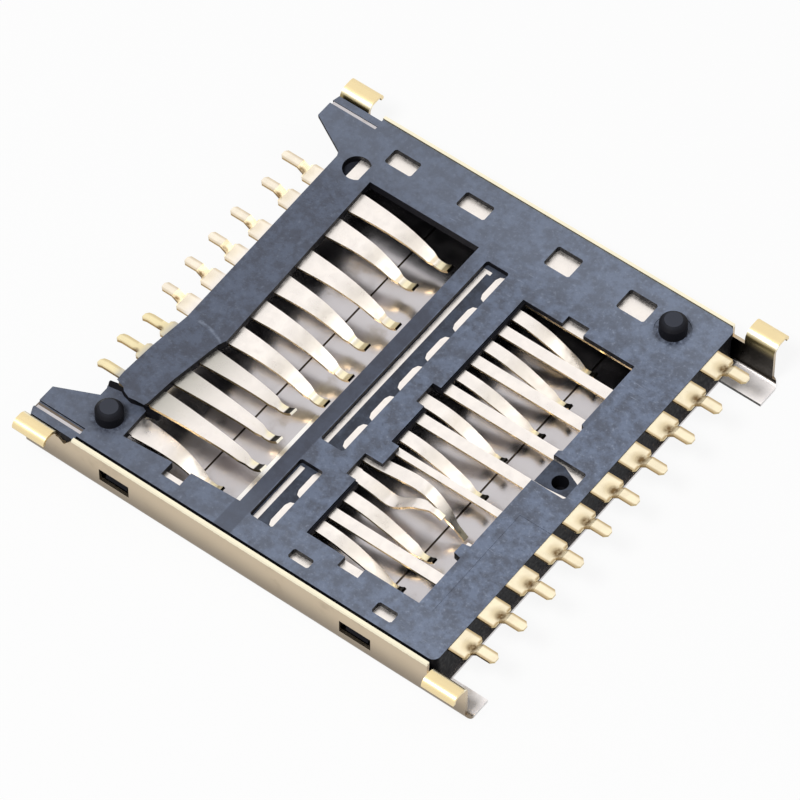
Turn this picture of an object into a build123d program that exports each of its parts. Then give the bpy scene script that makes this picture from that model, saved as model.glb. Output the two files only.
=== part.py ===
from build123d import *
import math
import os

os.makedirs("parts", exist_ok=True)

# Memory card socket, lying on its shell with the board side up.
# +X is the way a card goes in, +Z points from the shell to the board. Millimetres.

# Stack of sheet, card space and moulded plate
shell_t = 0.20
card_gap = 2.10
plate_t = 0.55
under_z = shell_t + card_gap
face_z = under_z + plate_t

# Moulded housing
front_x = -12.20
rear_x = 12.17
card_half = 12.15
rail_half = card_half + 1.25
half_width = {1: rail_half + 0.12, -1: rail_half + 0.05}
rear_wall_x = 9.60
corner_r = 0.45
ear_x = -14.78
ear_t = 0.24
ear_drop = 1.60
ear_rail = card_half + 0.25
ear_end_x = -11.70
ear_half_left = rail_half - 0.04
ear_half_right = rail_half + 0.34
bar_lean = 0.26

# Rows of leads, spread over the card's width
lead_pitch = (card_half - 0.90) / 4.5
lead_first_y = 0.62 - card_half

# Break in the front bar, between the sixth and seventh front contacts and at the foot of the bar
crease_y = -1.48 * lead_pitch
torn_y = 2.15 - card_half
inner_crease_x = -9.22
bar_lift_deg = 8.6
undercut = 0.42
ledge_depth = 0.12

# Windows and hollows in the face
left_window_x = (-9.65, -2.20)
left_window_y = (0.65 - card_half, card_half - 2.55)
right_window_x = (1.84, 9.26)
right_window_y = (1.17 - card_half, card_half - 3.95)
strip_depth = 0.35
strip_z = face_z - strip_depth
shelf_w = 0.15
shelf_depth = 0.16
recess_x = (-1.30, 0.20)
recess_long_y = (6.45 - card_half, card_half - 3.00)
recess_short_y = (0.30 - card_half, 4.79 - card_half)
hollow_y = card_half + 0.15
hollow_corner = 0.10
lower_band_y = (-card_half - 0.80, -card_half - 0.01)

# Round openings
ear_hole_x = -10.80
ear_hole_y = card_half - 2.21
ear_hole_r = 0.83
ear_hole_flat_x = -10.25
ear_hole_depth = 0.48
blind_hole = (10.45, -0.14)
blind_hole_r = 0.48
blind_hole_depth = 1.40

# Locating pegs
peg_r = 0.79
peg_h = 0.95
peg_chamfer = 0.28
peg_front = (-11.09, 0.75 - card_half)
peg_rear = (9.47, card_half - 0.72)

# Stamped contacts
metal_t = 0.15
strip_w = 0.73
narrow_strip_w = 0.46
lead_w = 1.65
tongue_w = 0.72
tongue_rise = 0.33
lead_depth = 0.05
shoulder_x = 13.30
rear_lead_tip_x = 14.72
front_depth = 0.12
front_lead_w = 1.30
front_tongue_w = 0.60
lead_corner = 0.16
bent_tongue_rise = 0.0
tongue_droop = 0.12
turn_half = 1.02
turn_x = -0.30
tip_reach = 0.45
tip_curl = 0.24

# Shell; what differs from side to side is given for the +Y side and the -Y side
wall_half = {1: rail_half + 0.12 + shell_t, -1: rail_half + 0.27 + shell_t}
wall_top_z = face_z + 0.10
bend_r = 0.45
foot_bend_r = 0.60
floor_x = (-11.90, 12.38)
wall_x = (-11.72, 11.95)
foot_half = wall_half[-1] + 1.05
foot_end_r = 0.32
front_corner_x = {1: ear_x + 0.03, -1: ear_x - 0.17}
foot_x = {
    1: ((front_corner_x[1], -12.75), (12.75, rear_x + 2.49)),
    -1: ((front_corner_x[-1], -12.80), (12.35, rear_x + 2.28)),
}
foot_z = face_z + 0.20
notch_z = face_z - 0.80
notch = [(-12.90, -0.80), (-12.80, -0.42), (-12.62, -0.42), (-12.27, -0.72), (-11.72, 0.0), (-11.60, -0.80)]
flange_half = {1: rail_half - 1.53, -1: rail_half - 1.15}
flange_x = {1: rear_x + 2.91, -1: rear_x + 2.55}
flange_r = {1: 0.60, -1: 0.40}
tongue_in = rail_half - 0.72
groove_x = (-6.15, 6.45)
groove_w = 0.10
groove_depth = 0.06

# Upright strips that the ears are pressed on: middle, half width, open gap beside, depth of the gap
ear_strips = {1: (rail_half - 0.60, 0.11, 0.0, 0.30), -1: (rail_half - 0.27, 0.10, 0.26, 0.12)}
ear_strip_x = (-14.66, -11.65)
ear_strip_z = face_z - 0.03


def block(x0, x1, y0, y1, z0, z1):
    """Box between two corners."""
    centre = Pos((x0 + x1) / 2, (y0 + y1) / 2, (z0 + z1) / 2)
    return centre * Box(x1 - x0, y1 - y0, z1 - z0)


def prism(points, z0, z1):
    """Upright solid on a plan outline."""
    face = make_face(Polyline(*points, close=True))
    return Pos(0, 0, z0) * extrude(face, z1 - z0)


def upright_section(edges, half_y):
    """Solid of a section drawn in X and Z, as wide as 2 * half_y."""
    return extrude(Plane.XZ * make_face(edges), half_y, both=True)


def under_edge(points):
    """Lower line of a folded sheet whose upper line is given."""
    lower = []
    last = len(points) - 1
    for index, (x, z) in enumerate(points):
        before = points[max(index - 1, 0)]
        after = points[min(index + 1, last)]
        run_in = math.atan2(z - before[1], x - before[0]) if index else None
        run_out = math.atan2(after[1] - z, after[0] - x) if index < last else None
        first = run_out if run_in is None else run_in
        second = run_in if run_out is None else run_out
        middle = (first + second) / 2
        reach = metal_t / math.cos((second - first) / 2)
        lower.append((x + reach * math.sin(middle), z - reach * math.cos(middle)))
    return lower


def blade_curves(points, end_slope):
    """Upper and lower line of a sprung blade; it starts level."""
    upper = Spline(*points, tangents=((1, 0), (1, end_slope)))
    count = 6
    lower_points = []
    for step in range(count + 1):
        part = 1 - (1 - step / count) ** 1.5
        spot = upper @ part
        way = upper % part
        lower_points.append((spot.X + way.Y * metal_t, spot.Y - way.X * metal_t))
    lower = Spline(*lower_points, tangents=((1, 0), (1, end_slope)))
    return upper, lower


def bent_sheet(lead_points, blade_points, end_slope, half_y):
    """Sheet that follows a folded lead and then a sprung blade."""
    upper, lower = blade_curves(blade_points, end_slope)
    lead_lower = under_edge(lead_points)
    lead_lower[-1] = (lead_points[-1][0], lead_points[-1][1] - metal_t)
    edges = Polyline(*lead_points).edges()
    edges += upper.edges()
    edges += Line(upper @ 1, lower @ 1).edges()
    edges += lower.edges()
    edges += Polyline(*lead_lower).edges()
    edges += Line(lead_points[0], lead_lower[0]).edges()
    return upright_section(edges, half_y)


def flat_sheet(points, half_y):
    """Sheet that follows a folded line."""
    outline = points + under_edge(points)[::-1]
    return upright_section(Polyline(*outline, close=True).edges(), half_y)


def tongue_plan(shoulder, tip, y, half):
    """Plan outline of a lead's tongue with a rounded end."""
    way = math.copysign(1, tip - shoulder)
    corner = half * 0.55
    return [
        (shoulder, y - half),
        (tip - way * corner, y - half),
        (tip, y - half + corner),
        (tip, y + half - corner),
        (tip - way * corner, y + half),
        (shoulder, y + half),
    ]


# Front contacts: y in lead pitches, lead tip x, shoulder x, blade tip x, blade tip z under the face
front_rows = [
    (3.288, -14.60, -12.95, -3.62, -1.40),
    (2.440, -14.36, -12.95, -4.39, -1.46),
    (1.384, -14.44, -12.95, -3.54, -1.50),
    (0.544, -14.33, -12.95, -4.05, -1.56),
    (-0.292, -14.32, -12.95, -3.54, -1.66),
    (-1.140, -14.21, -12.95, -3.57, -1.68),
    (-2.004, -13.90, -12.42, -4.16, -0.75),
    (-2.856, -13.95, -12.38, -3.47, -0.72),
    (-3.704, -13.60, -11.85, -2.91, -0.80),
    (-4.316, None, -11.70, -4.54, -1.62),
]
bent_rows = range(7, 10)
front_step_x = (-11.30, -10.70)
front_root_x = -9.55
front_root_half = 0.71
front_mid_half = 0.52
front_neck_half = 0.38
front_tip_half = 0.26
tip_slope = 1.1


def front_contact(place, lead_tip, shoulder, tip_x, tip_z, rise, droop):
    """Stamped front contact: lead, stub in the bar and tapered blade."""
    y = place * lead_pitch
    z0 = face_z - front_depth
    z1 = strip_z
    span = tip_x - front_root_x
    drop = face_z + tip_z - z1
    blade = [
        (front_root_x, z1),
        (front_root_x + 0.30 * span, z1 + 0.02 * drop),
        (front_root_x + 0.62 * span, z1 + 0.28 * drop),
        (tip_x - 0.70, z1 + 0.82 * drop),
        (tip_x, z1 + drop),
        (tip_x + tip_reach, z1 + drop + tip_curl),
    ]
    lead = [(shoulder, z0)]
    if lead_tip is not None:
        lead = [
            (lead_tip, z0 + rise - droop),
            (lead_tip + 0.45, z0 + rise),
            (shoulder - 0.42, z0 + rise),
            (shoulder + 0.05, z0),
        ]
    lead += [(front_step_x[0], z0), (front_step_x[1], z1), (front_root_x, z1)]
    sheet = Pos(0, y, 0) * bent_sheet(lead, blade, tip_slope, 2 * front_root_half)
    taper = [
        (front_root_x, y - front_root_half),
        (front_root_x + 0.52 * span, y - front_mid_half),
        (tip_x - 0.86, y - front_neck_half),
        (tip_x - 0.48, y - front_tip_half),
        (tip_x + tip_reach + 1.0, y - front_tip_half),
    ]
    stub_half = front_lead_w / 2
    stub = [
        (shoulder, y - stub_half + lead_corner),
        (shoulder + lead_corner, y - stub_half),
        (front_root_x, y - stub_half),
    ]
    side = stub + taper
    outline = side + [(x, 2 * y - edge) for x, edge in reversed(side)]
    plan = prism(outline, 0, 2 * face_z)
    if lead_tip is not None:
        tongue = tongue_plan(shoulder + 0.2, lead_tip, y, front_tongue_w / 2)
        plan += prism(tongue, 0, 2 * face_z)
    return sheet & plan


# Rear contacts: lead row, strip and blade beside the lead in y, blade tip x, blade tip z under the face
rear_rows = [
    (0, 0.19, 1.50, 7.03, -1.66),
    (1, 0.08, 1.43, 7.24, -1.58),
    (4, 0.28, -1.15, 6.99, -1.62),
    (5, 0.23, -1.12, 6.36, -1.60),
    (6, 0.13, -1.13, 7.05, -1.58),
    (7, 0.13, -1.17, 7.03, -1.58),
    (8, 0.09, -1.10, 6.82, -1.70),
]
bent_blade_e = [(2.70, -0.22), (4.00, 0.04), (5.30, 0.02), (6.55, -0.80), (7.30, -1.62), (7.95, -2.12)]
bent_blade_d = [
    (2.10, -0.40),
    (3.10, -0.62),
    (3.85, -0.78),
    (4.75, -0.30),
    (5.75, 0.30),
    (6.40, 0.28),
    (7.02, -0.02),
]
rear_root_x = 1.60
rear_root_half = 0.40
rear_mid_half = 0.41
rear_neck_half = 0.33
rear_tip_half = 0.18
widen_x = (10.05, 11.60)
turn_back_x = 0.85


def lead_y(row):
    return lead_first_y + lead_pitch * row


def rear_lead_sheet(start_x):
    """Strip, step up in the rear wall, wide lead and raised tongue."""
    z0 = strip_z
    z1 = face_z - lead_depth
    return flat_sheet(
        [
            (start_x, z0),
            (widen_x[1], z0),
            (widen_x[1] + 0.40, z1),
            (shoulder_x - 0.08, z1),
            (shoulder_x + 0.34, z1 + tongue_rise),
            (rear_lead_tip_x, z1 + tongue_rise),
        ],
        2 * rail_half,
    )


def strip_plan(row, strip, start_x, width):
    """Plan of a strip that widens into its lead and ends in a tongue."""
    y = lead_y(row)
    half = width / 2
    wide = lead_w / 2
    plan = prism(
        [
            (start_x, strip - half),
            (widen_x[0], strip - half),
            (widen_x[1], y - wide),
            (shoulder_x - lead_corner, y - wide),
            (shoulder_x, y - wide + lead_corner),
            (shoulder_x, y + wide - lead_corner),
            (shoulder_x - lead_corner, y + wide),
            (widen_x[1], y + wide),
            (widen_x[0], strip + half),
            (start_x, strip + half),
        ],
        0,
        2 * face_z,
    )
    return plan + prism(tongue_plan(shoulder_x - 0.2, rear_lead_tip_x, y, tongue_w / 2), 0, 2 * face_z)


def rear_blade(y, points, end_slope, drift=0.0):
    """Sprung blade from the turn in the middle bar."""
    lead = [(turn_back_x - 0.40, strip_z), (rear_root_x, strip_z)]
    line = [(rear_root_x, strip_z)] + points
    sheet = bent_sheet(lead, line, end_slope, 2 * rail_half)
    tip_x = points[-1][0]
    side = [
        (turn_back_x - 0.40, rear_root_half),
        (rear_root_x + 0.40, rear_root_half),
        (rear_root_x + 2.60, rear_mid_half),
        (tip_x - tip_reach - 0.80, rear_neck_half),
        (tip_x - tip_reach - 0.30, rear_tip_half),
        (tip_x + 1.0, rear_tip_half),
    ]
    outline = []
    for sign, order in ((-1, side), (1, side[::-1])):
        for x, half in order:
            away = drift * max(0.0, (x - rear_root_x) / (tip_x - rear_root_x)) ** 2
            outline.append((x, y + sign * half + away))
    return sheet & prism(outline, 0, 2 * face_z)


def turn_end(strip, y):
    """Flat U that joins a strip and its blade inside the middle bar."""
    middle = (strip + y) / 2
    corner = 0.42
    outer = prism(
        [
            (turn_back_x, middle - turn_half),
            (turn_x + corner, middle - turn_half),
            (turn_x + 0.12, middle - turn_half + 0.12),
            (turn_x, middle - turn_half + corner),
            (turn_x, middle + turn_half - corner),
            (turn_x + 0.12, middle + turn_half - 0.12),
            (turn_x + corner, middle + turn_half),
            (turn_back_x, middle + turn_half),
        ],
        strip_z - metal_t,
        strip_z,
    )
    gap = abs(strip - y) / 2 - 0.40
    return outer - block(turn_back_x - 0.35, turn_back_x, middle - gap, middle + gap, 0, face_z)


def straight_blade(tip_x, tip_z):
    """Blade line that falls gently and curls up at its end."""
    span = tip_x - rear_root_x
    drop = tip_z + strip_depth
    line = [
        (rear_root_x + place * span, strip_z + part * drop)
        for place, part in ((0.28, 0.06), (0.60, 0.42), (0.88, 0.89))
    ]
    line.append((tip_x, strip_z + drop))
    line.append((tip_x + tip_reach, strip_z + drop + tip_curl))
    return line


def rear_contact(row, strip, y, points, end_slope, drift=0.0, width=strip_w):
    """Hairpin: lead and strip, U turn, sprung blade."""
    start_x = turn_back_x - 0.40
    arm = rear_lead_sheet(start_x) & strip_plan(row, strip, start_x, width)
    return arm + turn_end(strip, y) + rear_blade(y, points, end_slope, drift)


def raised(line):
    return [(x, face_z + z) for x, z in line]


contacts = {}
for number, row in enumerate(front_rows, start=1):
    bent = number in bent_rows
    rise, droop = (bent_tongue_rise, tongue_droop) if bent else (tongue_rise, 0.0)
    contacts[f"front_contact_{number:02d}"] = front_contact(*row, rise, droop)

for number, (row, strip_off, blade_off, tip_x, tip_z) in enumerate(rear_rows, start=1):
    line = straight_blade(tip_x, tip_z)
    strip, y = lead_y(row) + strip_off, lead_y(row) + blade_off
    contacts[f"rear_contact_{number:02d}"] = rear_contact(row, strip, y, line, tip_slope)

strip, y = lead_y(3) + 0.33, lead_y(3) - 0.87
contacts["rear_contact_08"] = rear_contact(
    3, strip, y, raised(bent_blade_e), -0.6, -0.15, narrow_strip_w
)
y = lead_y(2) + 0.30
root_low = lead_y(1) + 1.90
blade_d_root = block(turn_x + 0.9, rear_root_x, root_low, y + 0.45, strip_z - metal_t, strip_z)
contacts["rear_contact_09"] = blade_d_root + rear_blade(y, raised(bent_blade_d), -0.6, 0.35)


# Terminals with no blade in sight
def band_plan(pieces):
    plan = block(*pieces[0], strip_z - metal_t, strip_z)
    for piece in pieces[1:]:
        plan += block(*piece, strip_z - metal_t, strip_z)
    return plan


def short_lead(row, start_x):
    return rear_lead_sheet(start_x) & strip_plan(row, lead_y(row), start_x, strip_w)


contacts["card_detect_terminal"] = band_plan(
    [(-10.60, -2.60, hollow_y - 1.10, hollow_y), (-11.12, -10.15, ear_hole_y - 0.94, hollow_y - 0.50)]
)
contacts["write_protect_terminal"] = short_lead(9, 8.80)
contacts["write_protect_terminal"] += band_plan([(0.80, 9.40, hollow_y - 1.45, hollow_y)])
contacts["short_terminal"] = short_lead(2, 8.85)
contacts["lower_strip"] = band_plan([(-7.20, 9.30, *lower_band_y)])
low, high = recess_long_y[0] + 0.20, recess_long_y[1] - 0.30
contacts["long_bar_insert"] = band_plan([(-1.26, -0.94, low, high), (-1.26, -0.72, high - 0.23, high)])
low, high = recess_short_y[0] + 0.15, recess_short_y[1] - 0.19
contacts["short_bar_insert"] = band_plan([(-1.20, -0.90, low, high)])


# Moulded housing
def outline_points():
    return [
        (front_x + bar_lean, crease_y),
        (front_x, 9.95),
        (-12.33, 10.27),
        (ear_x, card_half - 0.53),
        (ear_x, card_half + 0.60),
        (ear_x + 0.14, ear_half_left),
        (ear_end_x, ear_half_left),
        (ear_end_x, half_width[1]),
        (rear_x, half_width[1]),
        (rear_x, -half_width[-1]),
        (ear_end_x, -half_width[-1]),
        (ear_end_x, -ear_half_right),
        (ear_x + 0.18, -ear_half_right),
        (ear_x, 0.05 - rail_half),
        (ear_x, 0.49 - card_half),
        (-12.40, torn_y - 0.55),
        (-12.40, torn_y),
        (-12.64, torn_y + 0.49),
    ]


def right_window():
    x0, x1 = right_window_x
    y0, y1 = right_window_y
    return [
        (x0, y1),
        (x0, 0.80),
        (1.30, 0.80),
        (1.30, -0.70),
        (x0, -0.70),
        (x0, -3.60),
        (2.36, -3.60),
        (2.36, -5.05),
        (1.20, -5.05),
        (1.20, -6.70),
        (x0, -6.70),
        (x0, y0),
        (4.40, y0),
        (4.40, y0 - 0.69),
        (5.75, y0 - 0.69),
        (5.75, y0),
        (x1, y0),
        (x1, -7.40),
        (8.80, -7.30),
        (8.80, -6.60),
        (x1, -6.50),
        (x1, 1.30),
        (x1 + 0.20, 1.40),
        (x1 + 0.20, 3.30),
        (x1, 3.40),
        (x1, y1),
        (5.85, y1),
        (5.85, y1 + 0.60),
        (4.45, y1 + 0.60),
        (4.45, y1),
    ]


def left_window():
    x0, x1 = left_window_x
    y0, y1 = left_window_y
    return [
        (x0, y1),
        (inner_crease_x, crease_y),
        (-9.10, torn_y + 0.30),
        (-9.79, torn_y + 0.08),
        (-9.74, y0 - 0.44),
        (-6.60, y0 - 0.20),
        (-6.60, y0 - 1.15),
        (-5.35, y0 - 1.15),
        (-5.35, y0 - 0.15),
        (x1, y0),
        (x1, y1),
    ]


def peg(spot):
    body = Pos(spot[0], spot[1], face_z + peg_h / 2) * Cylinder(peg_r, peg_h)
    return chamfer(body.edges().sort_by(Axis.Z)[-1], peg_chamfer)


body = prism(outline_points(), under_z, face_z)
body = fillet(body.edges().filter_by(Axis.Z).sort_by(Axis.X)[-2:], corner_r)
broken_span = [
    (-13.60, crease_y),
    (-8.90, crease_y),
    (-8.90, torn_y + 0.50),
    (-9.80, torn_y + 0.50),
    (-10.87, torn_y + 0.60),
    (-11.71, torn_y + 0.79),
    (-12.64, torn_y + 0.59),
    (-13.60, torn_y + 0.59),
]
torn_face = [
    (-13.60, torn_y + 2.0),
    (-8.90, torn_y + 2.0),
    (-8.90, torn_y + 0.12),
    (-9.79, torn_y + 0.08),
    (-10.06, torn_y + 0.19),
    (-10.41, torn_y + 0.09),
    (-10.75, torn_y),
    (-11.35, torn_y + 0.14),
    (-11.60, torn_y + 0.29),
    (-12.33, torn_y + 0.16),
    (-13.60, torn_y + 0.16),
]
body -= prism(broken_span, under_z, face_z)
body -= prism(torn_face, face_z - ledge_depth, face_z)
lower = block(front_x, rear_x, -rail_half, rail_half, shell_t, under_z)
lower = fillet(lower.edges().filter_by(Axis.Z).sort_by(Axis.X)[-2:], corner_r)
body += lower - block(front_x - 1, rear_wall_x, -card_half, card_half, 0, under_z)
body -= prism(left_window(), 0, face_z)
body -= prism(right_window(), 0, face_z)

# Shelf along the middle bar, where the rear contacts leave it
shelf_spans = [(0.80, right_window_y[1]), (-3.60, -0.70), (right_window_y[0], -6.70)]
shelf_x = right_window_x[0]
for y_low, y_high in shelf_spans:
    body += block(shelf_x, shelf_x + shelf_w, y_low, y_high, under_z, face_z - shelf_depth)
for side in (1, -1):
    ear = sorted((side * ear_rail, side * rail_half))
    body += block(ear_x + 0.15, front_x + 0.5, *ear, face_z - ear_drop, under_z)
    thin = sorted((side * 9.50, side * ear_rail))
    body -= block(ear_x - 1, front_x - 0.15, *thin, under_z, face_z - ear_t)

# Hollows that show embedded metal at their floor
hollows = [
    (*recess_x, *recess_long_y),
    (*recess_x, *recess_short_y),
    (-9.90, -8.10, hollow_y - 1.10, hollow_y),
    (-5.00, -3.10, hollow_y - 1.10, hollow_y),
    (1.20, 2.90, hollow_y - 1.45, hollow_y),
    (6.05, 7.90, hollow_y - 1.45, hollow_y),
    (1.95, 3.30, lower_band_y[0] + 0.15, lower_band_y[1]),
    (7.55, 8.85, lower_band_y[0] + 0.05, lower_band_y[1]),
    (9.20, 11.40, -1.10, 0.93),
]
for hollow in hollows:
    pocket = block(*hollow, strip_z, face_z)
    body -= chamfer(pocket.edges().filter_by(Axis.Z), hollow_corner)
opening = Pos(ear_hole_x, ear_hole_y, face_z - ear_hole_depth / 2) * Cylinder(ear_hole_r, ear_hole_depth)
body -= opening - block(ear_hole_flat_x, ear_hole_flat_x + 1, ear_hole_y - 2, ear_hole_y + 2, 0, face_z)
body -= Pos(*blind_hole, face_z - blind_hole_depth / 2) * Cylinder(blind_hole_r, blind_hole_depth)
moat_r = 1.05
moat_depth = 0.05
body -= Pos(*peg_rear, face_z - moat_depth / 2) * Cylinder(moat_r, moat_depth)
body += Pos(*peg_rear, face_z - moat_depth / 2) * Cylinder(peg_r, moat_depth)
body += peg(peg_front)
body += peg(peg_rear)
step_depth = 0.02
step_span = (1.15 - card_half, lead_y(3) + 0.73)
body -= block(rear_wall_x + 0.53, rear_x + 1, *step_span, face_z - step_depth, face_z)

# Lifted end of the front bar, drawn flat and then turned about the crease.
# Its torn end leans back under the face.
torn_end = [
    (-11.88, torn_y + 0.12),
    (-11.28, torn_y - 0.08),
    (-11.08, torn_y - 0.29),
    (-10.62, torn_y - 0.48),
    (-10.23, torn_y - 0.41),
    (-9.66, torn_y - 0.36),
    (-9.60, torn_y - 0.14),
]


def bar_level(setback, z):
    """Outline of the bar's free end at one height."""
    points = [(front_x + bar_lean, crease_y), (-12.02, crease_y - 3.10), (-11.96, torn_y + 0.80)]
    points += [(x, y + setback) for x, y in torn_end]
    points += [(-9.62, torn_y + 2.0), (-9.40, crease_y - 0.60), (inner_crease_x, crease_y)]
    return Pos(0, 0, z) * make_face(Polyline(*points, close=True))


lifted = Solid.make_loft([bar_level(undercut, under_z).wire(), bar_level(0.0, face_z).wire()], ruled=True)
for number in bent_rows:
    lifted -= contacts[f"front_contact_{number:02d}"]


def lift(shape):
    """Turn about the crease, so the bar's free end rises."""
    there = Pos(0, crease_y, under_z)
    back = Pos(0, -crease_y, -under_z)
    return there * Rot(-bar_lift_deg, 0, 0) * back * shape


body += lift(lifted)
for number in bent_rows:
    name = f"front_contact_{number:02d}"
    contacts[name] = lift(contacts[name])

# Shell: floor, folded walls, soldering feet and retaining strips


def shell_side(side):
    """Folded parts of the shell on one side."""
    wall = wall_half[side]
    middle = wall - shell_t / 2
    inner = flange_half[side]
    wall_line = FilletPolyline(
        (inner, shell_t / 2), (middle, shell_t / 2), (middle, wall_top_z), radius=bend_r - shell_t / 2
    )
    foot_line = FilletPolyline(
        (inner, shell_t / 2),
        (middle, shell_t / 2),
        (middle, foot_z - shell_t / 2),
        (foot_half - shell_t / 2, foot_z - shell_t / 2),
        (foot_half - shell_t / 2, foot_z - shell_t / 2 - 1.3 * foot_end_r),
        radius=(bend_r - shell_t / 2, foot_bend_r - shell_t / 2, foot_end_r),
    )
    folded = Pos(wall_x[0], 0, 0) * extrude(Plane.YZ * trace(wall_line, shell_t), wall_x[1] - wall_x[0])
    reach = flange_x[side] - front_corner_x[side]
    low = Pos(front_corner_x[side], 0, 0) * extrude(Plane.YZ * trace(wall_line, shell_t), reach)
    frame = block(front_corner_x[side], flange_x[side], inner - 1, wall, 0, notch_z)
    corners = frame.edges().filter_by(Axis.Z).sort_by(Axis.X)[-2:]
    low &= fillet(corners, flange_r[side])
    low -= block(foot_x[side][1][1], flange_x[side] + 1, wall - 0.5, wall + 1, bend_r, notch_z)
    low -= block(front_corner_x[side] - 1, floor_x[0], inner - 1, tongue_in, 0, notch_z)
    folded += low
    for x0, x1 in foot_x[side]:
        foot = Pos(x0, 0, 0) * extrude(Plane.YZ * trace(foot_line, shell_t), x1 - x0)
        folded += foot - block(front_corner_x[side] - 1, floor_x[0], inner - 1, tongue_in, 0, notch_z)
    folded -= block(-9.90, -7.90, card_half, wall + 1, face_z - 1.95, face_z - 1.0)
    folded -= block(6.20, 8.25, card_half, wall + 1, face_z - 1.95, face_z - 1.0)
    if side < 0:
        gusset = Plane.XZ * make_face(Polyline(*[(x, face_z + z) for x, z in notch], close=True))
        folded += Pos(0, wall, 0) * extrude(gusset, shell_t)
    line, half, gap, depth = ear_strips[side]
    folded += block(*ear_strip_x, line - half, line + half, shell_t / 2, ear_strip_z)
    return folded if side > 0 else mirror(folded, Plane.XZ)


shell = block(*floor_x, -flange_half[-1] - 0.2, flange_half[1] + 0.5, 0, shell_t)
shell += shell_side(1)
shell += shell_side(-1)
for x in groove_x:
    shell -= block(x, x + groove_w, 0.25 - card_half, card_half - 0.25, shell_t - groove_depth, shell_t)
for side, (line, half, gap, depth) in ear_strips.items():
    slit = sorted((side * (line - half - gap), side * (line + half)))
    body -= block(ear_x - 1, ear_strip_x[1], *slit, face_z - depth, face_z)

# Snap bumps in the wall slots
for side in (1, -1):
    for x in (-9.60, 6.50):
        bump = [
            (rail_half - 0.1, face_z - 1.85),
            (rail_half + 0.30, face_z - 1.75),
            (rail_half, face_z - 1.15),
            (rail_half - 0.1, face_z - 1.15),
        ]
        wedge = Pos(x, 0, 0) * extrude(Plane.YZ * make_face(Polyline(*bump, close=True)), 1.45)
        body += wedge if side > 0 else mirror(wedge, Plane.XZ)

# Everything stamped is moulded in, so the housing takes its shape
for name, piece in contacts.items():
    number = int(name[-2:]) if name.startswith("front_contact") else 0
    if number not in bent_rows:
        body -= piece
body -= shell

pieces = {"housing": body, "shell": shell}
pieces.update(contacts)
for name, piece in pieces.items():
    export_step(piece, f"parts/{name}.step")
    print(name, len(piece.solids()), round(piece.volume, 3))
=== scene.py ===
import math

import bpy
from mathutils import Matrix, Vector


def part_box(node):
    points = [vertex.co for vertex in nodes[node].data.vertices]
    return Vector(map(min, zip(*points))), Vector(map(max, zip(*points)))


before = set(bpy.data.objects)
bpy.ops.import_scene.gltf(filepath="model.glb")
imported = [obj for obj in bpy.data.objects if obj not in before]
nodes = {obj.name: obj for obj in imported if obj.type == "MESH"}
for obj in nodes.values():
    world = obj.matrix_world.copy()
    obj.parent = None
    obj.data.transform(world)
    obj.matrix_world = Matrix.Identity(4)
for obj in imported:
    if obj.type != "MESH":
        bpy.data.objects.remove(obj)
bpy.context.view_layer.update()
mm = 0.001
faceZ = 2.85  # board side of the housing, mm
print("frame loaded:", len(nodes), "nodes")


# camera, solved from the straight edges of the photograph
cameraValues = {
    "azimuth": 37.156,  # degrees round Z, from -Y
    "elevation": 54.072,  # degrees
    "distance": 339.549,  # mm
    "target": (0.570, -1.159, faceZ),  # mm
    "focal": 6358.5,  # pixels
    "width": 800,  # pixels
    "sensor": 36.0,  # mm
    "clip": (0.01, 10.0),  # m
}


def makeCamera(values):
    # place = target + distance * (sin a cos e, -cos a cos e, sin e), lens = sensor * focal / width
    a, e = math.radians(values["azimuth"]), math.radians(values["elevation"])
    back = Vector((math.sin(a) * math.cos(e), -math.cos(a) * math.cos(e), math.sin(e)))
    data = bpy.data.cameras.new("camera")
    data.sensor_width = values["sensor"]
    data.lens = values["sensor"] * values["focal"] / values["width"]
    data.clip_start, data.clip_end = values["clip"]
    camera = bpy.data.objects.new("camera", data)
    camera.location = (Vector(values["target"]) + back * values["distance"]) * mm
    camera.rotation_mode = "QUATERNION"
    camera.rotation_quaternion = (-back).to_track_quat("-Z", "Y")
    bpy.context.scene.collection.objects.link(camera)
    bpy.context.scene.camera = camera


makeCamera(cameraValues)
bpy.context.scene.view_settings.view_transform = "Standard"
print("camera placed")


# small helpers for node materials, where tree is the material's node tree
def newMaterial(name):
    # a new material, its tree and its main shader
    material = bpy.data.materials.new(name)
    material.use_nodes = True
    return material, material.node_tree, material.node_tree.nodes["Principled BSDF"]


def addNode(tree, kind, sockets=None, **settings):
    # one node with its settings, then the values on its sockets
    node = tree.nodes.new(kind)
    for key, value in settings.items():
        setattr(node, key, value)
    for key, value in (sockets or {}).items():
        node.inputs[key].default_value = value
    return node


def feed(tree, socket, value):
    # a colour or a number is written on the socket, another node's output is linked to it
    if isinstance(value, tuple):
        socket.default_value = (*value, 1.0)
    elif isinstance(value, (int, float)):
        socket.default_value = value
    else:
        tree.links.new(value, socket)


def objectMm(tree, turn=0.0, stretch=(1.0, 1.0, 1.0)):
    # object coordinates in millimetres, each multiplied by its stretch and then turned about Z
    sockets = {"Rotation": (0.0, 0.0, math.radians(turn)), "Scale": [part / mm for part in stretch]}
    mapping = addNode(tree, "ShaderNodeMapping", sockets)
    coords = addNode(tree, "ShaderNodeTexCoord")
    tree.links.new(coords.outputs["Object"], mapping.inputs["Vector"])
    return mapping.outputs["Vector"]


def splitAxes(tree, vector):
    # the x, y and z of a vector
    node = addNode(tree, "ShaderNodeSeparateXYZ")
    tree.links.new(vector, node.inputs[0])
    return node.outputs


def normalAxes(tree):
    # x, y and z of the unit normal: z is 1 on level upper faces and 0 on upright ones
    return splitAxes(tree, addNode(tree, "ShaderNodeTexCoord").outputs["Normal"])


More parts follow.
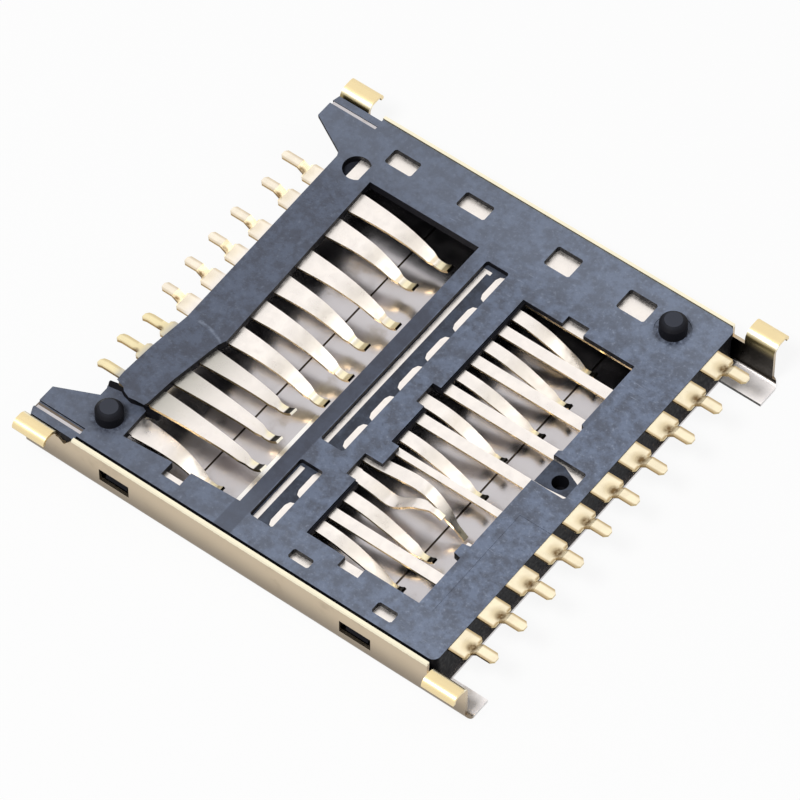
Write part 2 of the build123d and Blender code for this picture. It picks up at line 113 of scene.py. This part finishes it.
def noise(tree, vector, scale, detail, rough):
    # cloudy values round 0.5, with about scale clouds to the millimetre
    node = addNode(tree, "ShaderNodeTexNoise", {"Scale": scale, "Detail": detail, "Roughness": rough})
    tree.links.new(vector, node.inputs["Vector"])
    return node.outputs["Fac"]


def ramp(tree, value, low, high, lowTo=0.0, highTo=1.0):
    # low..high is carried to lowTo..highTo along 3 t^2 - 2 t^3 and held outside
    sockets = {"From Min": low, "From Max": high, "To Min": lowTo, "To Max": highTo}
    node = addNode(tree, "ShaderNodeMapRange", sockets, interpolation_type="SMOOTHSTEP")
    tree.links.new(value, node.inputs["Value"])
    return node.outputs["Result"]


def combine(tree, operation, first, second=0.0):
    # one step of arithmetic on two values
    node = addNode(tree, "ShaderNodeMath", operation=operation)
    feed(tree, node.inputs[0], first)
    feed(tree, node.inputs[1], second)
    return node.outputs[0]


def product(tree, first, *others):
    # first times each of the others
    for other in others:
        first = combine(tree, "MULTIPLY", first, other)
    return first


def largest(tree, first, *others):
    # the largest of all the values
    for other in others:
        first = combine(tree, "MAXIMUM", first, other)
    return first


def inverse(tree, mask):
    # 1 - mask
    return combine(tree, "SUBTRACT", 1.0, mask)


def band(tree, value, low, high, blur):
    # 1 from low to high, falling to 0 over blur on both sides
    rise = ramp(tree, value, low - blur, low)
    return product(tree, rise, ramp(tree, value, high, high + blur, 1.0, 0.0))


def roundMask(tree, x, y, place, inner, outer):
    # 1 within inner of the place, 0 beyond outer, where the distance is sqrt(dx^2 + dy^2)
    dx = combine(tree, "SUBTRACT", x, place[0])
    dy = combine(tree, "SUBTRACT", y, place[1])
    square = combine(tree, "ADD", product(tree, dx, dx), product(tree, dy, dy))
    return ramp(tree, combine(tree, "SQRT", square), inner, outer, 1.0, 0.0)


def roundMasks(tree, x, y, places, reach):
    # the largest of the round masks at several places
    return largest(tree, *(roundMask(tree, x, y, place, *reach) for place in places))


def mixColour(tree, factor, first, second):
    # first + factor * (second - first)
    node = addNode(tree, "ShaderNodeMix", data_type="RGBA")
    feed(tree, node.inputs[0], factor)
    feed(tree, node.inputs[6], first)
    feed(tree, node.inputs[7], second)
    return node.outputs[2]


def coats(tree, colour, layers):
    # each (mask, coat) in turn covers the colour as far as its mask says
    for mask, coat in layers:
        colour = mixColour(tree, mask, colour, coat)
    return colour


def bump(tree, shader, height, strength, distance):
    # the shader's normal leans as the slope of height * distance
    node = addNode(tree, "ShaderNodeBump", {"Strength": strength, "Distance": distance})
    tree.links.new(height, node.inputs["Height"])
    tree.links.new(node.outputs["Normal"], shader.inputs["Normal"])


# Places and lengths are in mm, and heights (Z) are above the board side. Two or four numbers are a
# ramp: from, to, and what these two give. Three are a band: from, to and blur. A noise is its
# scale per mm, detail and roughness.
housingLook = {
    "slate": (0.108, 0.133, 0.192),
    "dark": (0.062, 0.072, 0.100),
    "pale": (0.200, 0.232, 0.300),
    "black": (0.016, 0.019, 0.033),
    # near black painted shade on every face that is not lit
    "side": (0.006, 0.006, 0.008),
    # painted light on the pegs' flat tops, whose sides stay in painted shade
    "pegTop": (0.036, 0.039, 0.050),
    # painted brown shade in the slit beside the ear strip
    "slit": (0.105, 0.080, 0.060),
    "patches": (1.1, 5.0, 0.68),  # noise
    "specks": (4.2, 4.0, 0.70),  # noise
    "slateAt": (0.38, 0.62),  # patches that turn slate
    "paleAt": (0.52, 0.76, 0.0, 0.75),  # specks that turn pale
    "blackAt": (0.30, 0.46, 0.45, 0.0),  # specks that turn black
    "shadeX": ((-12.0, 5.0, 0.50, 0.12), (4.0, 9.6, 1.0, 0.0)),  # darker to the front
    "stripX": (-2.40, -1.40, 0.12),  # dark strip of the middle bar
    "stripY": (3.0, 7.5, 0.75, 0.0),
    "railsY": ((7.5, 11.5, 0.0, 0.22), (-9.5, -11.5, 0.0, 0.14)),  # paler rails
    "scratched": ((1.2, 8.9), (-4.9, 9.9), (9.6, 6.5), (10.8, -6.2)),  # places
    "scratchReach": (0.5, 1.9),
    "scratchLines": ((38, 0.7, 9.0), (-24, 0.6, 11.0)),  # degrees, waves per mm along and across
    "scratchNoise": (1.0, 2.0, 0.5),
    "scratchAt": (0.66, 0.72),
    "scratchBy": 0.75,
    "crease": (-11.1, -3.50, 0.155),  # x and y of its top, and its bend
    "creaseAt": (0.02, 0.16, 0.6, 0.0),  # distance from its line
    "creaseX": (-11.2, -9.2, 0.2),
    "creaseNoise": (3.5, 2.0, 0.55),
    "creasePatchAt": (0.35, 0.60, 0.15, 0.8),
    "pegs": ((-11.09, -11.40), (9.47, 11.43)),  # places
    "pegReach": (0.82, 0.90),
    "pegZ": (0.02, 0.10),
    "pegTopAt": (0.55, 1.0),  # upward part of the normal
    "pegTopZ": (0.72, 0.94),
    # painted shade round the feet of the pegs
    "pegFootShadeReach": (0.80, 1.30),
    "pegFootShadeAt": (0.35, 0.60, 1.0, 0.25),
    "litAt": (0.55, 0.95),  # upward part of the normal
    "litZ": (-0.60, -0.05),
    "belowZ": (-0.10, -0.03, 1.0, 0.0),
    # the shelf at the middle bar's edge and the ledge behind the break are left out of the lit faces, in
    # painted shade
    "shelfX": (1.86, 2.02, 0.03),
    "ledgeX": (-13.0, -8.9, 0.1),  # behind the break
    "ledgeY": (-10.1, -9.2, 0.1),
    "earX": (-11.8, -11.6, 1.0, 0.0),
    "slitY": (-13.32, -12.85, 0.02),
    "roughAt": (0.3, 0.7, 0.42, 0.62),  # specks, and the roughness that they give
    "specular": (0.06, 0.5),  # dark faces and lit ones
    "grain": (0.25, 0.00003),  # strength, and depth in m
}


def wearMask(tree, look, x, y):
    # fine lines of drawn-out noise round a few places, and the worn crease along the curve
    # y = y0 - bend * (x - x0)^2, broken up by noise
    lines = [noise(tree, objectMm(tree, turn, (along, across, 1.0)), *look["scratchNoise"])
             for turn, along, across in look["scratchLines"]]
    lines = ramp(tree, largest(tree, *lines), *look["scratchAt"])
    near = roundMasks(tree, x, y, look["scratched"], look["scratchReach"])
    x0, y0, bend = look["crease"]
    away = combine(tree, "SUBTRACT", x, x0)
    gap = combine(tree, "ADD", combine(tree, "SUBTRACT", y, y0), product(tree, away, away, bend))
    line = ramp(tree, combine(tree, "ABSOLUTE", gap), *look["creaseAt"])
    patchy = ramp(tree, noise(tree, objectMm(tree), *look["creaseNoise"]), *look["creasePatchAt"])
    crease = product(tree, line, band(tree, x, *look["creaseX"]), patchy)
    return largest(tree, product(tree, lines, near, look["scratchBy"]), crease)


def housingMaterial(look):
    # mottled slate where lit = upward part * height * (1 - pegs) * (1 - ledges): its lightness is
    # painted light over the plastic's own mottling; near black painted shade elsewhere
    material, tree, shader = newMaterial("slatePlastic")
    vector = objectMm(tree)
    x, y, z = splitAxes(tree, vector)
    height = combine(tree, "SUBTRACT", z, faceZ)
    up = normalAxes(tree)["Z"]
    patches = noise(tree, vector, *look["patches"])
    specks = noise(tree, vector, *look["specks"])
    shade = product(tree, *(ramp(tree, x, *part) for part in look["shadeX"]))
    strip = product(tree, band(tree, x, *look["stripX"]), ramp(tree, y, *look["stripY"]))
    # painted shade round the feet of the pegs, broken up by the specks
    around = roundMasks(tree, x, y, look["pegs"], look["pegFootShadeReach"])
    pegFootShade = product(tree, around, ramp(tree, specks, *look["pegFootShadeAt"]))
    face = coats(tree, look["dark"], [
        (ramp(tree, patches, *look["slateAt"]), look["slate"]),
        (ramp(tree, specks, *look["paleAt"]), look["pale"]),
        (ramp(tree, specks, *look["blackAt"]), look["black"]),
        (shade, look["black"]),
        (strip, look["black"]),
        *((ramp(tree, y, *rail), look["pale"]) for rail in look["railsY"]),
        (wearMask(tree, look, x, y), look["pale"]),
        (pegFootShade, look["black"]),
    ])
    pegs = roundMasks(tree, x, y, look["pegs"], look["pegReach"])
    pegs = product(tree, pegs, ramp(tree, height, *look["pegZ"]))
    below = ramp(tree, height, *look["belowZ"])
    # the shelf and the ledge below the face stay in painted shade
    shelf = product(tree, band(tree, x, *look["shelfX"]), below)
    ledge = product(tree, band(tree, x, *look["ledgeX"]), band(tree, y, *look["ledgeY"]), below)
    lit = product(tree, ramp(tree, up, *look["litAt"]), ramp(tree, height, *look["litZ"]),
                  inverse(tree, pegs), inverse(tree, largest(tree, shelf, ledge)))
    # painted light on the pegs' flat tops
    pegTop = product(tree, pegs, ramp(tree, up, *look["pegTopAt"]), ramp(tree, height, *look["pegTopZ"]))
    # painted brown shade on the low faces of the ear's slit
    slit = product(tree, ramp(tree, x, *look["earX"]), below, band(tree, y, *look["slitY"]))
    # lit faces take the face colour as painted light, all the rest the near black of side as painted
    # shade
    colour = coats(tree, look["side"], [(lit, face), (pegTop, look["pegTop"]), (slit, look["slit"])])
    tree.links.new(colour, shader.inputs["Base Color"])
    tree.links.new(ramp(tree, specks, *look["roughAt"]), shader.inputs["Roughness"])
    specular = ramp(tree, lit, 0.0, 1.0, *look["specular"])
    tree.links.new(specular, shader.inputs["Specular IOR Level"])
    bump(tree, shader, specks, *look["grain"])
    return material


# the same kinds of numbers, with heights above the shell's underside
shellLook = {
    # painted reflection of shade: the walls' colour from top to foot
    "wallTop": (0.56, 0.455, 0.32),
    "wallLow": (0.24, 0.195, 0.145),
    "inside": (0.60, 0.57, 0.58),
    "flange": (0.90, 0.86, 0.85),
    "stain": (0.30, 0.24, 0.17),
    # painted highlight along the walls' rolled top edge
    "rim": (0.93, 0.86, 0.66),
    "feet": (0.86, 0.70, 0.40),
    # painted shade on the inward faces, lightening to webTop near their top
    "webTop": (0.36, 0.29, 0.14),
    "shade": (0.022, 0.018, 0.013),
    "groove": (0.075, 0.058, 0.048),
    "bright": (0.97, 0.94, 0.90),
    "haze": (0.55, 3.0, 0.55),  # noise
    "grit": (7.0, 3.0, 0.7),  # noise
    "outerY": (13.3, 13.6),  # |y| from the floor to the walls
    "wallZ": (0.20, 2.40),
    "flangeX": (12.3, 12.5),
    "stainAt": (0.55, 0.75, 0.0, 0.45),  # haze that turns to stain
    "rimGrit": 0.16,  # how far the grit makes the rim ragged
    "rimZ": (2.78, 2.88),
    "footY": (13.92, 14.02),  # |y|
    "footZ": (2.30, 2.70),
    "rollZ": (2.97, 3.0),
    "inwardAt": (-0.9, -0.5, 1.0, 0.0),  # outward part of the normal
    "webZ": (1.9, 2.9),
    "floorZ": (0.21, 0.25, 1.0, 0.0),
    "groovesX": ((-6.15, -6.05, 0.02), (6.45, 6.55, 0.02)),
    "brightX": (-3.60, -3.10, 0.05),  # strip of floor beside the middle bar
    "brightY": (-3.3, -3.0, 1.0, 0.0),
    "metallic": (1.0, 0.12),  # everywhere, and on the flange
    "roughness": (0.20, 0.32),  # floor, and walls and flange
    "hazeRoughAt": (0.3, 0.7, -0.04, 0.06),
}


def shellMaterial(look):
    # lavender grey floor, champagne walls that darken downwards as a painted reflection of the shade at
    # their foot, gold rolls at the feet, and painted shade, lightening to gold near the top, on webs and
    # other faces
    # whose normal points inwards: sign(y) * normal y < 0
    material, tree, shader = newMaterial("rolledSteel")
    vector = objectMm(tree)
    x, y, z = splitAxes(tree, vector)
    away = combine(tree, "ABSOLUTE", y)
    haze = noise(tree, vector, *look["haze"])
    grit = noise(tree, vector, *look["grit"])
    outer = ramp(tree, away, *look["outerY"])
    flange = ramp(tree, x, *look["flangeX"])
    # painted reflection of shade: the wall darkens from its top to its foot
    wall = mixColour(tree, ramp(tree, z, *look["wallZ"]), look["wallLow"], look["wallTop"])
    level = mixColour(tree, flange, look["inside"], look["flange"])
    ragged = combine(tree, "ADD", z, product(tree, grit, look["rimGrit"]))
    foot = product(tree, ramp(tree, z, *look["footZ"]), ramp(tree, away, *look["footY"]))
    outward = product(tree, combine(tree, "SIGN", y), normalAxes(tree)["Y"])
    # painted shade on the inward faces, lightening to gold near their top
    web = mixColour(tree, ramp(tree, z, *look["webZ"]), look["shade"], look["webTop"])
    low = ramp(tree, z, *look["floorZ"])
    bright = product(tree, low, band(tree, x, *look["brightX"]), ramp(tree, y, *look["brightY"]))
    colour = coats(tree, level, [
        (outer, wall),
        (ramp(tree, haze, *look["stainAt"]), look["stain"]),
        # painted highlight on the walls' top edge, made ragged by the grit
        (product(tree, ramp(tree, ragged, *look["rimZ"]), outer), look["rim"]),
        (largest(tree, foot, ramp(tree, z, *look["rollZ"])), look["feet"]),
        (ramp(tree, outward, *look["inwardAt"]), web),
        *((product(tree, low, band(tree, x, *groove)), look["groove"]) for groove in look["groovesX"]),
        (bright, look["bright"]),
    ])
    tree.links.new(colour, shader.inputs["Base Color"])
    flange = product(tree, flange, inverse(tree, outer))
    tree.links.new(ramp(tree, flange, 0.0, 1.0, *look["metallic"]), shader.inputs["Metallic"])
    rough = ramp(tree, largest(tree, outer, flange), 0.0, 1.0, *look["roughness"])
    rough = combine(tree, "ADD", rough, ramp(tree, haze, *look["hazeRoughAt"]))
    tree.links.new(rough, shader.inputs["Roughness"])
    return material


# the same kinds of numbers, with heights above the lowest point of the piece; front stands for the
# front contacts and rear for all the other strips
contactLook = {
    "silver": (0.90, 0.84, 0.79),
    "gold": (0.92, 0.83, 0.58),  # low part of the blade's tip
    "neck": (0.50, 0.36, 0.15),  # line before the tip
    "valley": (0.62, 0.53, 0.33),  # where the tip turns up
    # painted highlight on the end face of the bent front blades
    "tipRimHighlight": (0.90, 0.85, 0.72),  # end face of the bent front blades
    "shade": (0.016, 0.014, 0.010),
    # painted shade near the bar on the tilted bent front blades
    "root": (0.40, 0.39, 0.34),  # bent front blades near the bar
    # painted shade on the blades' slopes that face rearwards
    "slope": (0.50, 0.45, 0.37),
    "cut": (0.40, 0.29, 0.15),
    "bentCream": (0.92, 0.80, 0.50),  # leads of the bent front contacts
    # painted shade on the leads' steps that face rearwards
    "leadSlope": (0.56, 0.45, 0.23),
    "edge": (0.42, 0.29, 0.13),
    "dim": (0.55, 0.42, 0.22),
    # painted shade at the step where the tongue leaves the wide part
    "stepShade": (0.17, 0.105, 0.045),
    "dull": (0.42, 0.38, 0.28),
    "front": {
        "cream": (0.93, 0.84, 0.70),
        "leadX": (-12.6, -11.9, 1.0, 0.0),
        "tipX": (-5.0, 20.0, 1.0),
        "shoulder": -13.14,
        "half": (0.65, 0.30),  # half widths of the wide part and of the tongue
        "edgeBy": 0.45,
        "stepShadePlace": (-0.27, -0.05),  # across, and along from the shoulder
        "stepShadeReach": (0.08, 0.30),
        "dimBy": 0.20,
    },
    "rear": {
        "cream": (0.93, 0.82, 0.60),
        "leadX": (11.7, 12.1, 0.0, 1.0),
        "tipX": (5.5, 8.5, 0.3),
        "shoulder": 13.16,
        "half": (0.825, 0.36),
        "edgeBy": 0.80,
        "stepShadePlace": (0.0, 0.0),
        "stepShadeReach": (0.12, 0.46),
        "dimBy": 0.55,
    },
    "bentShoulder": {
        "front_contact_07": -12.62,
        "front_contact_08": -12.58,
        "front_contact_09": -12.05,
    },
    "bentTips": {  # in x, and in z above the shell's underside
        "rear_contact_08": ((7.2, 7.5), (1.8, 1.9, 1.0, 0.0)),
        "rear_contact_09": ((6.5, 6.8), (8.9, 9.0, 1.0, 0.0)),
    },
    "pitch": 2.5,
    "firstLead": -11.53,
    "tongueAt": (0.10, 0.20),  # along, where the tongue begins
    "edgeWidth": (0.20, 0.04),
    "endBlur": 0.08,
    "endAt": (-0.06, 0.08),  # along, at the end of the wide part
    "dimPlace": (0.0, -0.22),
    "dimReach": (0.15, 0.62),
    "patches": (5.0, 3.0, 0.55),  # noise
    "patchAt": (0.3, 0.6, 0.55, 1.0),
    "goldZ": (0.15, 0.24, 1.0, 0.0),
    "neckZ": (0.26, 0.31, 0.04),
    "neckBy": 0.7,
    "rootX": (-9.8, -6.2, 0.75, 0.0),
    "slopeAt": (0.08, 0.30, 0.0, 0.5),  # rearward part of the normal
    "leadSlopeAt": (0.08, 0.30, 0.0, 0.6),
    "turnedAt": (-0.32, -0.22, 1.0, 0.0),
    "endFaceAt": (0.45, 0.60),
    "endFaceZ": (0.55, 0.65, 1.0, 0.0),
    "cutAt": (0.5, 0.8),  # sideways part of the normal
    "haze": (1.6, 3.0, 0.55),  # noise
    "dullAt": (0.55, 0.8, 0.0, 0.16),
    "roughAt": (0.3, 0.7, 0.26, 0.44),
}


def leadPlace(tree, look, name, x, y):
    # where a point lies across from the lead's middle and along past its shoulder; the rear leads
    # repeat each pitch p from y0, so there across = (y - y0 + p / 2) mod p - p / 2
    if name.startswith("front"):
        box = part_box(name)
        middle = (box[0][1] + box[1][1]) / 2 / mm
        shoulder = look["bentShoulder"].get(name, look["front"]["shoulder"])
        return combine(tree, "SUBTRACT", y, middle), combine(tree, "SUBTRACT", shoulder, x)
    half = look["pitch"] / 2
    repeated = combine(tree, "ADD", y, half - look["firstLead"])
    repeated = combine(tree, "MODULO", repeated, look["pitch"])
    along = combine(tree, "SUBTRACT", x, look["rear"]["shoulder"])
    return combine(tree, "SUBTRACT", repeated, half), along


def leadMasks(tree, look, part, across, along):
    # darker edges of the wide part and of the tongue, the dim middle of the wide part, and the
    # patchy painted shade at the step where the tongue leaves it
    wide, tongue = part["half"]
    near, last = look["edgeWidth"]
    offset = combine(tree, "ABSOLUTE", across)
    beyond = ramp(tree, along, *look["tongueAt"])
    wideEdge = ramp(tree, offset, wide - near, wide - last)
    endEdge = ramp(tree, offset, tongue, tongue + look["endBlur"])
    endEdge = product(tree, endEdge, ramp(tree, along, *look["endAt"]))
    wideEdge = product(tree, largest(tree, wideEdge, endEdge), inverse(tree, beyond))
    tongueEdge = product(tree, ramp(tree, offset, tongue - near, tongue - last), beyond)
    edge = product(tree, largest(tree, wideEdge, tongueEdge), part["edgeBy"])
    dim = roundMask(tree, across, along, look["dimPlace"], *look["dimReach"])
    # painted shade at the foot of the step where the tongue leaves the wide part
    stepShade = roundMask(tree, across, along, part["stepShadePlace"], *part["stepShadeReach"])
    patchy = ramp(tree, noise(tree, objectMm(tree), *look["patches"]), *look["patchAt"])
    return edge, product(tree, dim, part["dimBy"]), product(tree, stepShade, patchy)


def tipCoats(tree, look, name, x, z, height, region):
    # gold on the low part of a blade's tip, the line before it on the straight front blades, and painted
    # shade near the bar on the bent ones
    if name in look["bentTips"]:
        tipX, tipZ = look["bentTips"][name]
        return [(product(tree, ramp(tree, x, *tipX), ramp(tree, z, *tipZ)), look["gold"])]
    if "contact" not in name:
        return []
    gold = (product(tree, region, ramp(tree, height, *look["goldZ"])), look["gold"])
    if not name.startswith("front"):
        return [gold]
    if name in look["bentShoulder"]:
        # painted shade near the bar on the tilted bent front blades
        return [gold, (ramp(tree, x, *look["rootX"]), look["root"])]
    neck = product(tree, band(tree, height, *look["neckZ"]), region, look["neckBy"])
    return [gold, (neck, look["neck"])]


def contactMaterial(look, name):
    # silver strip and cream lead, browner on slopes as painted shade and on cut faces; the tip's end
    # faces are masked by the rearward part of the normal, within the region of the tips, for painted
    # shade and highlights
    material, tree, shader = newMaterial(name + "Metal")
    isFront = name.startswith("front")
    isBent = name in look["bentShoulder"]
    part = look["front" if isFront else "rear"]
    vector = objectMm(tree)
    x, y, z = splitAxes(tree, vector)
    height = combine(tree, "SUBTRACT", z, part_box(name)[0][2] / mm)
    normal = normalAxes(tree)
    region = band(tree, x, *part["tipX"])
    cut = ramp(tree, combine(tree, "ABSOLUTE", normal["Y"]), *look["cutAt"])
    blade = coats(tree, look["silver"], [
        *tipCoats(tree, look, name, x, z, height, region),
        # painted shade on the slopes that face rearwards
        (ramp(tree, normal["X"], *look["slopeAt"]), look["slope"]),
        (cut, look["cut"]),
    ])
    edge, dim, stepShade = leadMasks(tree, look, part, *leadPlace(tree, look, name, x, y))
    lead = coats(tree, look["bentCream"] if isBent else part["cream"], [
        (largest(tree, edge, cut), look["edge"]),
        # painted shade on the leads' steps
        (ramp(tree, normal["X"], *look["leadSlopeAt"]), look["leadSlope"]),
        (dim, look["dim"]),
        (stepShade, look["stepShade"]),
    ])
    haze = noise(tree, vector, *look["haze"])
    colour = coats(tree, blade, [
        (ramp(tree, x, *part["leadX"]), lead),
        (ramp(tree, haze, *look["dullAt"]), look["dull"]),
    ])
    if name not in look["bentTips"]:
        turned = product(tree, ramp(tree, normal["X"], *look["turnedAt"]), region)
        endFace = product(tree, ramp(tree, normal["X"], *look["endFaceAt"]), region,
                          ramp(tree, height, *look["endFaceZ"]))
        # turned-up faces get painted shade, or the valley's gold on the straight front blades; end faces
        # get painted shade, or a painted highlight on the bent front blades
        colour = coats(tree, colour, [
            (turned, look["valley"] if isFront and not isBent else look["shade"]),
            (endFace, look["tipRimHighlight"] if isBent else look["shade"]),
        ])
    tree.links.new(colour, shader.inputs["Base Color"])
    shader.inputs["Metallic"].default_value = 1.0
    tree.links.new(ramp(tree, haze, *look["roughAt"]), shader.inputs["Roughness"])
    return material


def dress(name, material):
    # the node's own mesh gets this one material
    materials = nodes[name].data.materials
    materials.clear()
    materials.append(material)


dress("housing", housingMaterial(housingLook))
dress("shell", shellMaterial(shellLook))
for name in nodes:
    if name not in ("housing", "shell"):
        dress(name, contactMaterial(contactLook, name))
print("materials made")


# floor, light and background
stageValues = {
    "floorHalf": 1.2,  # m
    "floorDrop": 0.00002,  # m, below the shell
    "floorGrey": 0.6,
    "floorRoughness": 0.9,
    "floorGlow": 0.90,  # share of plain white that the camera and reflections see
    "worldStrength": 0.34,
    "lamps": {  # place in m, size in m, power in W
        "key": ((-0.03, -0.27, 0.50), 0.16, 3.2),
        "fill": ((0.30, 0.25, 0.45), 0.25, 0.42),
    },
}
white = (1.0, 1.0, 1.0, 1.0)


def seenRays(tree, operation):
    # 1 for camera, glossy and transmission rays, from their three flags
    path = addNode(tree, "ShaderNodeLightPath").outputs
    seen = combine(tree, operation, path["Is Camera Ray"], path["Is Glossy Ray"])
    return combine(tree, operation, seen, path["Is Transmission Ray"])


def makeFloor(values):
    # a level square whose shade is grey * (1 - glow) + white * glow to the camera and reflections
    half, low, grey = values["floorHalf"], -values["floorDrop"], values["floorGrey"]
    mesh = bpy.data.meshes.new("floor")
    corners = [(-half, -half, low), (half, -half, low), (half, half, low), (-half, half, low)]
    mesh.from_pydata(corners, [], [(0, 1, 2, 3)])
    floor = bpy.data.objects.new("floor", mesh)
    bpy.context.scene.collection.objects.link(floor)
    material, tree, shader = newMaterial("whiteFloor")
    shader.inputs["Base Color"].default_value = (grey, grey, grey, 1.0)
    shader.inputs["Roughness"].default_value = values["floorRoughness"]
    glow = addNode(tree, "ShaderNodeEmission", {"Strength": 1.0, "Color": white})
    blend = addNode(tree, "ShaderNodeMixShader")
    tree.links.new(product(tree, seenRays(tree, "MAXIMUM"), values["floorGlow"]), blend.inputs[0])
    tree.links.new(shader.outputs[0], blend.inputs[1])
    tree.links.new(glow.outputs[0], blend.inputs[2])
    tree.links.new(blend.outputs[0], tree.nodes["Material Output"].inputs["Surface"])
    mesh.materials.append(material)


def makeWorld(values):
    # strength = worldStrength + seen * (1 - worldStrength)
    world = bpy.data.worlds.new("world")
    bpy.context.scene.world = world
    world.use_nodes = True
    tree = world.node_tree
    ground = tree.nodes["Background"]
    ground.inputs["Color"].default_value = white
    strength = addNode(tree, "ShaderNodeMix", data_type="FLOAT")
    feed(tree, strength.inputs[0], seenRays(tree, "ADD"))
    feed(tree, strength.inputs[2], values["worldStrength"])
    feed(tree, strength.inputs[3], 1.0)
    tree.links.new(strength.outputs[0], ground.inputs["Strength"])


def makeLamp(name, place, size, power):
    # a square lamp that looks at the origin
    data = bpy.data.lights.new(name, "AREA")
    data.size = size
    data.energy = power
    lamp = bpy.data.objects.new(name, data)
    bpy.context.scene.collection.objects.link(lamp)
    lamp.location = place
    lamp.rotation_euler = (-Vector(place)).to_track_quat("-Z", "Y").to_euler()


makeFloor(stageValues)
makeWorld(stageValues)
for name, lampValues in stageValues["lamps"].items():
    makeLamp(name, *lampValues)
print("stage set")
